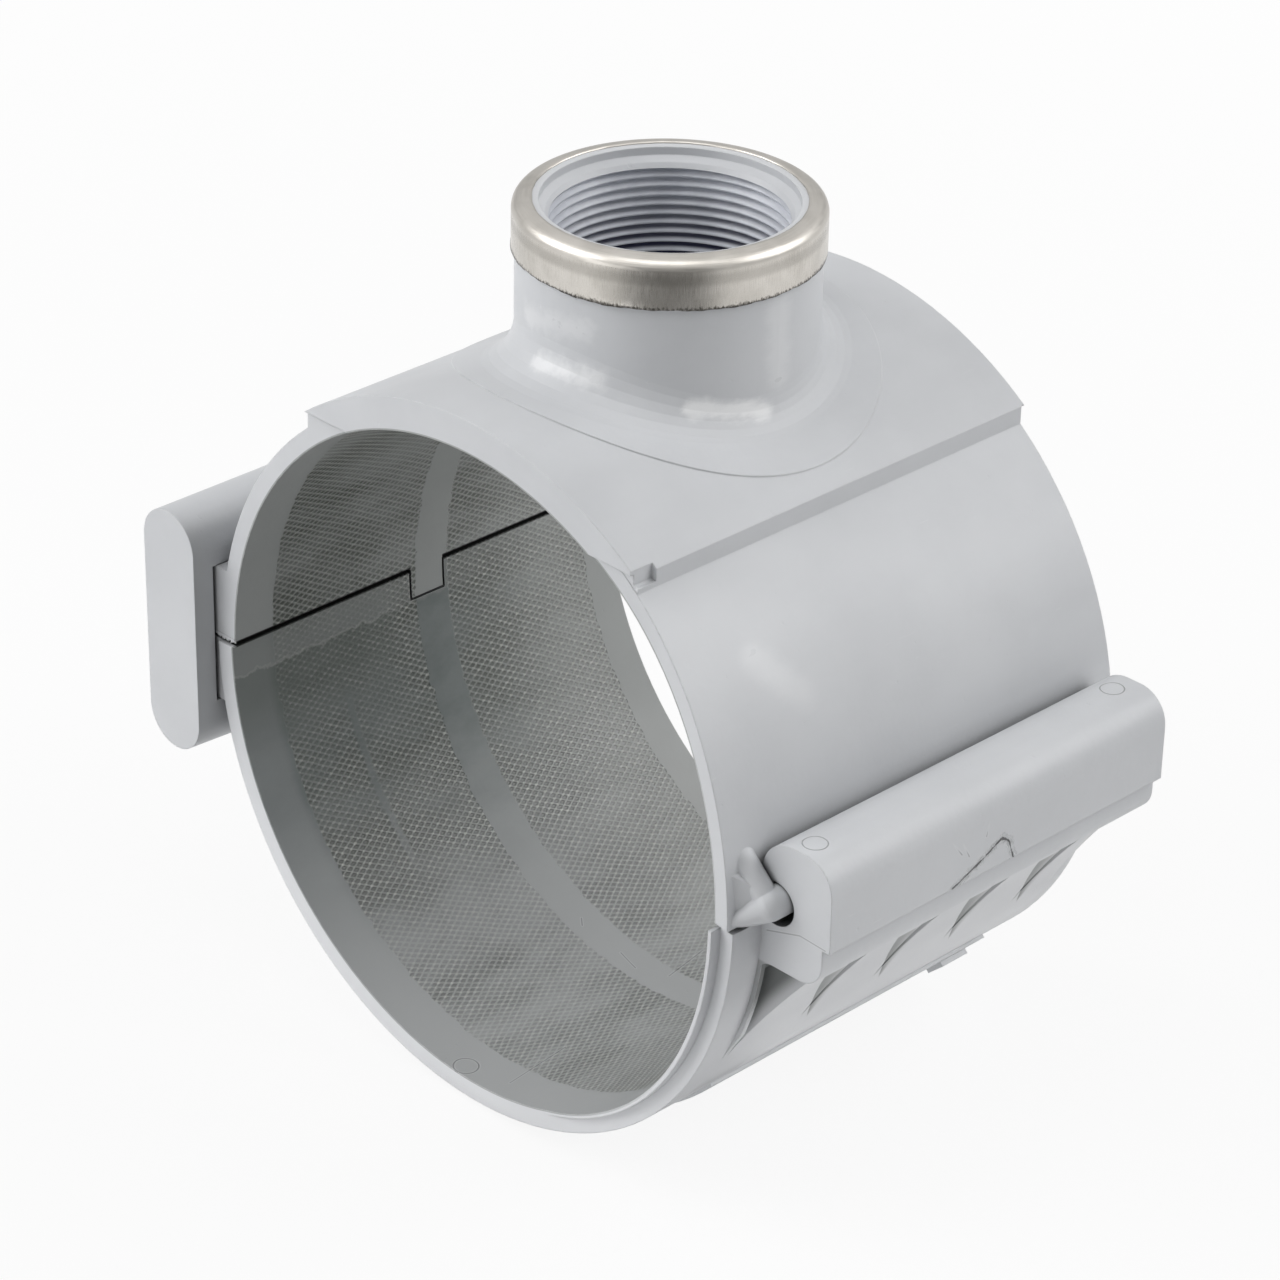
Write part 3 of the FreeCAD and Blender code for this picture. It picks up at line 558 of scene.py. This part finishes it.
def grey_pvc(name, piece):
    """Moulded light grey PVC, satin, with flow marks, scuffs, edges lightened as wear and painted highlight,
    painted shade in corners and gaps, and what each piece adds.
    """
    look = Finish(name)
    halves = piece != "wedge"
    flow = look.noise(14, 5, 0.6, (1, 3, 1), 3.0)
    rough = look.ramp(flow, 0.3, 0.7, 0.36, 0.50)
    soft, turned = look.rounded(0.45)
    peel = look.noise(2.4, 3, 0.5)
    skin = look.bump(peel * 0.85 - look.ramp(peel, 0.70, 0.78), 0.05, soft)
    # Edges that turn, in patches: lightened below partly as wear and partly as painted highlight
    worn = look.ramp(turned, 0.03, 0.22) * look.ramp(look.noise(5, 3, 0.6, shift=9.0), 0.25, 0.55)
    # How closed in each point is, which lays painted shade into corners and gaps
    open_air = look.openness(9)
    # Painted shade that darkens the split to a black line
    split = split_shade_line(look) * 0.97 if halves else None

    tone = look.ramp(look.noise(40, 4) * 0.7 + flow * 0.3, 0.3, 0.7)
    outer = look.blend(tone, PVC_DULL, PVC_CLEAN)
    outer_skin = skin
    outer_rough = rough
    streak = look.noise(0.5, 4, 0.65, (1, 30, 1), 5.0)
    scuff = look.ramp(streak, 0.66, 0.74) * look.ramp(look.noise(18, 3, 0.5, shift=6.0), 0.48, 0.62)
    outer = look.blend(scuff * 0.5, outer, PVC_SCUFFED)
    # Glossier patches with painted highlights on the upper half
    if piece == "upper":
        outer, outer_rough = gloss_and_highlight(look, outer, outer_rough)
    if halves:
        # Painted light: the outside lighter towards the bottom
        outer = look.blend(look.ramp(look.z, 5, -75) * 0.9, outer, PVC_PAINTED_LOW_LIGHT)
    if piece == "lower":
        outer, outer_skin = marks(look, BAR_RINGS, BAR_SCRATCHES, outer, outer_skin)
        outer, outer_skin = crack(look, outer, outer_skin)
    # Worn edges, partly painted highlight
    outer = look.blend(worn * 0.6, outer, PVC_WORN_EDGE_HIGHLIGHT)
    # Painted shade in corners and gaps, and in the lower half's pockets
    if piece == "lower":
        shade, floor_shown = pockets(look)
        outer = look.blend(look.ramp(look.math("MAXIMUM", open_air, floor_shown), 0.03, 0.38), CREVICE_SHADE, outer)
        outer = look.blend(shade * 0.84, outer, POCKET_SHADE)
    else:
        outer = look.blend(look.ramp(open_air, 0.03, 0.38), CREVICE_SHADE, outer)
    if halves:
        # Painted shade of the split
        outer = look.blend(split, outer, SPLIT_PAINTED_SHADE)
    else:
        # Painted shade: the wedge darker on its side that faces +X
        facing = look.parts(look.node("NewGeometry").outputs["Normal"])[0]
        outer = look.blend(look.ramp(facing, 0.4, 0.9) * 0.5, outer, PVC_PAINTED_SIDE_SHADE)
    outside = look.shader(Base_Color=outer, Roughness=outer_rough, Normal=outer_skin, IOR=1.5)
    if not halves:
        return look.surface(outside)

    pits, glint, area = knurl(look, piece)
    inner = bore_tone(look, piece, pits, glint, area)
    inner_skin = look.bump(1 - pits * area, KNURL_DEPTH, skin)
    if piece == "lower":
        inner, inner_skin = marks(look, BORE_RINGS, BORE_SCRATCHES, inner, inner_skin)
    # Worn edges, partly painted highlight
    inner = look.blend(worn * 0.6, inner, PVC_WORN_EDGE_HIGHLIGHT)
    # Painted shade in the bore's corners and gaps
    inner = look.blend(look.ramp(open_air, 0.03, 0.38), CREVICE_SHADE, inner)
    # Painted shade of the split
    inner = look.blend(split, inner, SPLIT_PAINTED_SHADE)
    inner_rough = rough + 0.16 - area * 0.24
    bore = look.shader(Base_Color=inner, Roughness=inner_rough, Normal=inner_skin, IOR=1.5)
    inside = look.ramp(look.hypot(look.x, look.z), BORE_R + 0.5, BORE_R + 0.25)
    inside = inside * look.ramp(abs(look.y), BORE_END + 4, BORE_END)
    return look.surface(look.node("MixShader", None, {0: inside, 1: outside, 2: bore}).outputs[0])


def thread_pvc():
    """The same PVC in the thread: pale crests, and painted shade in the roots that turns dark blue towards
    the bottom.
    """
    look = Finish("grey_pvc_thread")
    radius = look.hypot(look.x, look.y)
    wall = THREAD_WALL_R + THREAD_STAND_OFF - (THREAD_TOP - look.z) * THREAD_TAPER
    root = look.ramp((radius - wall) / THREAD_DEPTH, 0.10, 0.75)
    deep = look.ramp(look.z, THREAD_TOP - 3, THREAD_LOW + 4)
    mottle = look.noise(6, 3, 0.5)
    crest = look.blend(look.ramp(mottle, 0.3, 0.7), THREAD_CREST_DULL, THREAD_CREST_PALE)
    # Painted shade in the roots, deeper towards the bottom
    colour = look.blend(root * (0.10 + deep * 0.90), crest, THREAD_ROOT_SHADE)
    skin = look.bump(look.noise(0.5, 3, 0.5), 0.03)
    return look.finish(Base_Color=colour, Roughness=0.34, Normal=skin, IOR=1.5)


def stainless():
    """Pressed stainless sheet: upright brushing on the wall, drawn rings on the top, painted dark reflection
    below the shoulder and on the top, and a dark ragged lower edge.
    """
    look = Finish("brushed_stainless")
    radius = look.hypot(look.x, look.y)
    around = look.math("ARCTAN2", look.y, look.x) * RING_WALL_R
    brush = look.noise_on(around * 11, look.z * 0.22, 1.0, 5)
    rings = look.noise_on(radius * 9, around * 0.10, 1.0, 3)
    top = look.ramp(look.z, RING_SHOULDER_Z - 0.5, RING_SHOULDER_Z + 0.8)
    grain = brush * (1 - top) + rings * top
    patches = look.noise(9, 3, 0.55, shift=2.0)
    tone = look.ramp(grain * 0.45 + patches * 0.55, 0.34, 0.66)
    colour = look.blend(tone, STEEL_DULL, STEEL_BRIGHT)
    # Painted dark reflection below the shoulder and on the top
    bend = look.band(look.z, RING_SHOULDER_Z - 3.2, RING_SHOULDER_Z - 0.6, 0.8)
    colour = look.blend(bend * 0.4, colour, STEEL_BEND_PAINTED_REFLECTION)
    colour = look.blend(top * 0.3, colour, STEEL_TOP_PAINTED_REFLECTION)
    # The ring darker along its ragged lower edge
    ragged = look.z + (look.noise_on(around * 1.6, look.z, 1.0, 3) - 0.5) * 2.4
    low_edge = look.ramp(ragged, RING_LOW_Z + 1.0, RING_LOW_Z + 0.1)
    colour = look.blend(low_edge * 0.9, colour, STEEL_DARK_EDGE)
    rough = look.ramp(grain, 0.3, 0.7, 0.20, 0.34) + top * 0.1
    skin = look.bump(grain, 0.02)
    return look.finish(Base_Color=colour, Metallic=1.0, Roughness=rough, Normal=skin)


def rubber():
    """Matt black rubber."""
    look = Finish("seal_rubber")
    grain = look.bump(look.noise(0.7, 3), 0.03)
    colour = look.blend(look.noise(8, 3), RUBBER_DARK, RUBBER_DUSTY)
    return look.finish(Base_Color=colour, Roughness=0.62, Normal=grain)


def mesh_piece(name, points, faces, body, material, smooth=True):
    """New mesh piece, in millimetres, that rides on a body."""
    data = bpy.data.meshes.new(name)
    data.from_pydata([Vector(p) * MM for p in points], [], faces)
    data.validate()
    data.update()
    for polygon in data.polygons:
        polygon.use_smooth = smooth
    piece = bpy.data.objects.new(name, data)
    bpy.context.scene.collection.objects.link(piece)
    data.materials.append(material)
    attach(piece, body)
    return piece


def outlet_thread(material):
    """Female thread: one helical groove, tapered, run out at both ends."""
    around = 144
    turns = (THREAD_TOP - THREAD_LOW) / THREAD_PITCH
    profile = [(0.0, 0.0), (0.10, 0.0), (0.46, 0.95), (0.53, 1.0), (0.60, 0.95), (0.96, 0.0)]
    rows = len(profile)
    points = []
    steps = int(round((turns + 1) * around))
    for step in range(steps + 1):
        angle = 2 * math.pi * step / around
        base = THREAD_TOP + THREAD_PITCH * 0.5 - THREAD_PITCH * step / around
        for share, depth in profile:
            z = min(max(base - share * THREAD_PITCH, THREAD_LOW), THREAD_TOP)
            fade = min(1.0, (THREAD_TOP - z) / 0.9, (z - THREAD_LOW) / 3.0)
            wall = THREAD_WALL_R + THREAD_STAND_OFF - (THREAD_TOP - z) * THREAD_TAPER
            wall = wall if fade >= 1 else THREAD_WALL_R + (wall - THREAD_WALL_R) * max(fade, 0)
            r = wall + THREAD_DEPTH * depth * max(fade, 0)
            points.append((r * math.cos(angle), r * math.sin(angle), z))
    faces = []
    for step in range(steps):
        for row in range(rows - 1):
            a = step * rows + row
            faces.append((a, a + 1, a + rows + 1, a + rows))
        below = (step + around) * rows
        if below + rows < len(points):
            last = step * rows + rows - 1
            faces.append((last, below, below + rows, last + rows))
    return mesh_piece("outlet_thread", points, faces, "top", material)


def copied_node(node, name):
    """Copy of a CAD node's mesh as a new object."""
    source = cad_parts[node]
    piece = source.copy()
    piece.data = source.data.copy()
    piece.name = name
    for key in list(piece.keys()):
        del piece[key]
    bpy.context.scene.collection.objects.link(piece)
    return piece


def upper_moulding(material):
    """Upper half as moulded, open where the thread is cut."""
    piece = copied_node("upper_half", "upper_moulding")
    mesh = bmesh.new()
    mesh.from_mesh(piece.data)
    wall = []
    for face in mesh.faces:
        corners = [v.co / MM for v in face.verts]
        round_wall = all(abs(math.hypot(c.x, c.y) - THREAD_WALL_R) < 0.06 for c in corners)
        if round_wall and all(THREAD_LOW - 0.1 < c.z < THREAD_TOP + 0.1 for c in corners):
            wall.append(face)
    bmesh.ops.delete(mesh, geom=wall, context="FACES")
    mesh.to_mesh(piece.data)
    mesh.free()
    piece.data.materials.clear()
    piece.data.materials.append(material)
    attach(piece, "top")
    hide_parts("upper_half")
    return piece


def split_flash(material):
    """Ragged skin of plastic that hangs at the left split, from the upper half's near face."""
    points = []
    for i in range(FLASH_TEETH + 1):
        share = i / FLASH_TEETH
        x = FLASH_LEFT_X + (FLASH_RIGHT_X - FLASH_LEFT_X) * share
        ragged = 0.25 + 0.55 * math.sin(i * 2.3) + 0.4 * math.sin(i * 5.1 + 1)
        drop = FLASH_DROP * max(ragged, 0.0) * math.sin(math.pi * share)
        points.append((x, FLASH_Y, FLASH_TOP_Z))
        points.append((x + 0.2 * math.sin(i * 3.7), FLASH_Y - 0.15 * ragged, FLASH_LOW_Z - drop))
    faces = [(2 * i, 2 * i + 1, 2 * i + 3, 2 * i + 2) for i in range(FLASH_TEETH)]
    return mesh_piece("split_flash", points, faces, "top", material, smooth=False)


def ring_section():
    """Half section of the pressed ring, from its lower edge over the shoulder to its lip."""
    slope = math.radians(RING_SLOPE)
    inner = RING_WALL_R - RING_SHEET
    section = [(inner, RING_LOW_Z + 0.05), (inner + 0.4, RING_LOW_Z - 0.05), (RING_WALL_R, RING_LOW_Z + 0.15)]
    section += [(RING_WALL_R, RING_LOW_Z + rise) for rise in (0.7, 2.4, 5.4, 8.3)]
    corner_x = RING_WALL_R - RING_CORNER
    for i in range(9):
        turn = (math.pi / 2 - slope) * i / 8
        across = corner_x + RING_CORNER * math.cos(turn)
        section.append((across, RING_SHOULDER_Z + RING_CORNER * math.sin(turn)))
    end = section[-1]
    for share in (0.35, 0.7, 0.9):
        r = end[0] + (RING_LIP_R + 0.4 - end[0]) * share
        section.append((r, end[1] + (end[0] - r) * math.tan(slope) - 0.25 * share * share))
    top = section[-1]
    section += [(RING_LIP_R + 0.15, top[1] - 0.05), (RING_LIP_R, top[1] - 0.35)]
    return section + [(RING_LIP_R + 0.05, RING_LIP_Z)]


def waves(angle, *parts):
    """Sum of sine waves round a ring, each with a height, a count and a start."""
    return sum(height * math.sin(angle * count + start) for height, count, start in parts)


def stainless_ring(material):
    """Pressed ring over the boss, with rolled shoulders and slightly ragged edges."""
    around = 360
    section = ring_section()
    count = len(section)
    points = []
    for step in range(around):
        angle = 2 * math.pi * step / around
        low_wave = waves(angle, (0.12, 7, 1), (0.08, 23, 0), (0.06, 61, 2))
        low_flare = 0.08 + waves(angle, (0.08, 5, 0.5))
        lip_wave = waves(angle, (0.06, 9, 0), (0.04, 31, 1))
        for index, (r, z) in enumerate(section):
            if index < 3:
                z += low_wave
                r += low_flare
            if index > count - 4:
                r += lip_wave
            points.append((r * math.cos(angle), r * math.sin(angle), z))
    faces = []
    for step in range(around):
        for row in range(count - 1):
            a = step * count + row
            b = ((step + 1) % around) * count + row
            faces.append((a, b, b + 1, a + 1))
    piece = mesh_piece("stainless_ring", points, faces, "top", material)
    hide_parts("reinforcing_ring")
    return piece


def floor(low):
    """Pale floor, which the camera and the metal see as white and which takes the saddle's shadow."""
    data = bpy.data.meshes.new("floor")
    signs = ((-1, -1), (1, -1), (1, 1), (-1, 1))
    corners = [(across * FLOOR_REACH, along * FLOOR_REACH, low) for across, along in signs]
    data.from_pydata(corners, [], [(0, 1, 2, 3)])
    pale = Nodes(bpy.data.materials.new("pale_floor"))
    camera_ray, mirror_ray = pale.light_paths()
    x, y, z = pale.parts(pale.node("TexCoord").outputs["Object"])
    whiteness = 1 - mirror_ray * (1 - pale.tent(x, y, 0.0))
    card = pale.node("BsdfDiffuse", None, {"Color": FLOOR_CARD}).outputs[0]
    whitened = pale.ramp(pale.hypot(x, y), FLOOR_NEAR, FLOOR_FAR, FLOOR_WHITE, 1.0)
    seen = pale.math("MAXIMUM", camera_ray * whitened, mirror_ray)
    both = pale.node("MixShader", None, {0: seen, 1: card, 2: pale.glow(whiteness)}).outputs[0]
    pale.node("OutputMaterial", None, {"Surface": both})
    ground = bpy.data.objects.new("floor", data)
    bpy.context.scene.collection.objects.link(ground)
    data.materials.append(pale.owner)
    ground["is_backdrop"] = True


def surroundings():
    """White all round for the camera and, but for the tent's open side, the metal: dim light for the rest."""
    sky = Nodes(bpy.data.worlds.new("studio"))
    camera_ray, mirror_ray = sky.light_paths()
    x, y, z = sky.parts(sky.node("TexCoord").outputs["Generated"])
    low_sky = sky.ramp(z, 0.25, 0.65, TENT_LOW_SKY, 1.0)
    seen = sky.math("MAXIMUM", camera_ray, mirror_ray * sky.tent(x, y, z) * low_sky)
    dim = sky.node("Background", None, {"Color": (1, 1, 1, 1), "Strength": AMBIENT}).outputs[0]
    white = sky.node("Background", None, {"Color": (1, 1, 1, 1), "Strength": 1.0}).outputs[0]
    both = sky.node("MixShader", None, {0: seen, 1: dim, 2: white}).outputs[0]
    sky.node("OutputWorld", None, {"Surface": both})
    bpy.context.scene.world = sky.owner


def direction(azimuth, elevation):
    """Unit vector towards a point of the sky: azimuth 0 is -Y, and it turns towards +X."""
    a = math.radians(azimuth)
    e = math.radians(elevation)
    return Vector((math.sin(a) * math.cos(e), -math.cos(a) * math.cos(e), math.sin(e)))


def lamps():
    """Soft boxes round the saddle."""
    for name, azimuth, elevation, size, power in LAMPS:
        lamp = bpy.data.lights.new(name, "AREA")
        lamp.shape = "DISK"
        lamp.size = size
        lamp.energy = power
        spot = bpy.data.objects.new(name, lamp)
        spot.location = direction(azimuth, elevation) * LAMP_DISTANCE
        spot.rotation_euler = direction(azimuth, elevation).to_track_quat("Z", "Y").to_euler()
        spot.visible_glossy = name != "back"
        bpy.context.scene.collection.objects.link(spot)


def camera():
    """The photograph's viewpoint: a long lens, a little rolled, aimed at a point near the pipe axis."""
    back = direction(CAMERA_AZIMUTH, CAMERA_ELEVATION)
    across = (-back).cross(Vector((0, 0, 1))).normalized()
    upward = across.cross(-back)
    roll = math.radians(CAMERA_ROLL)
    right = math.cos(roll) * across + math.sin(roll) * upward
    top = -math.sin(roll) * across + math.cos(roll) * upward
    lens = bpy.data.cameras.new("camera")
    lens.sensor_width = SENSOR
    lens.lens = SENSOR * CAMERA_FOCAL / PHOTO_SIZE
    lens.clip_start = 0.01
    made = bpy.data.objects.new("camera", lens)
    turn = Matrix((right, top, back)).transposed()
    made.matrix_world = Matrix.Translation((Vector(CAMERA_AIM) + back * CAMERA_DISTANCE) * MM) @ turn.to_4x4()
    bpy.context.scene.collection.objects.link(made)
    bpy.context.scene.camera = made
    bpy.context.scene.view_settings.view_transform = "Standard"


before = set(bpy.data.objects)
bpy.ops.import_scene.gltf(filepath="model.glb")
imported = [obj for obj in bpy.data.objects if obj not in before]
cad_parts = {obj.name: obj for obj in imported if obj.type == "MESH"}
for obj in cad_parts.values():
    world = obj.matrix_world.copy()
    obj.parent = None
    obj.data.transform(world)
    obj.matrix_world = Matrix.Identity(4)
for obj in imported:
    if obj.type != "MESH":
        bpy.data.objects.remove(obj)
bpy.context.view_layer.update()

upper_pvc = grey_pvc("grey_pvc_upper", "upper")
upper_moulding(upper_pvc)
split_flash(upper_pvc)
outlet_thread(thread_pvc())
stainless_ring(stainless())
finishes = {
    "lower_half": grey_pvc("grey_pvc_lower", "lower"),
    "wedge": grey_pvc("grey_pvc_wedge", "wedge"),
    "seal": rubber(),
}
for node, material in finishes.items():
    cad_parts[node].data.materials.clear()
    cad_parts[node].data.materials.append(material)

floor(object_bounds()[0][2])
surroundings()
lamps()
camera()
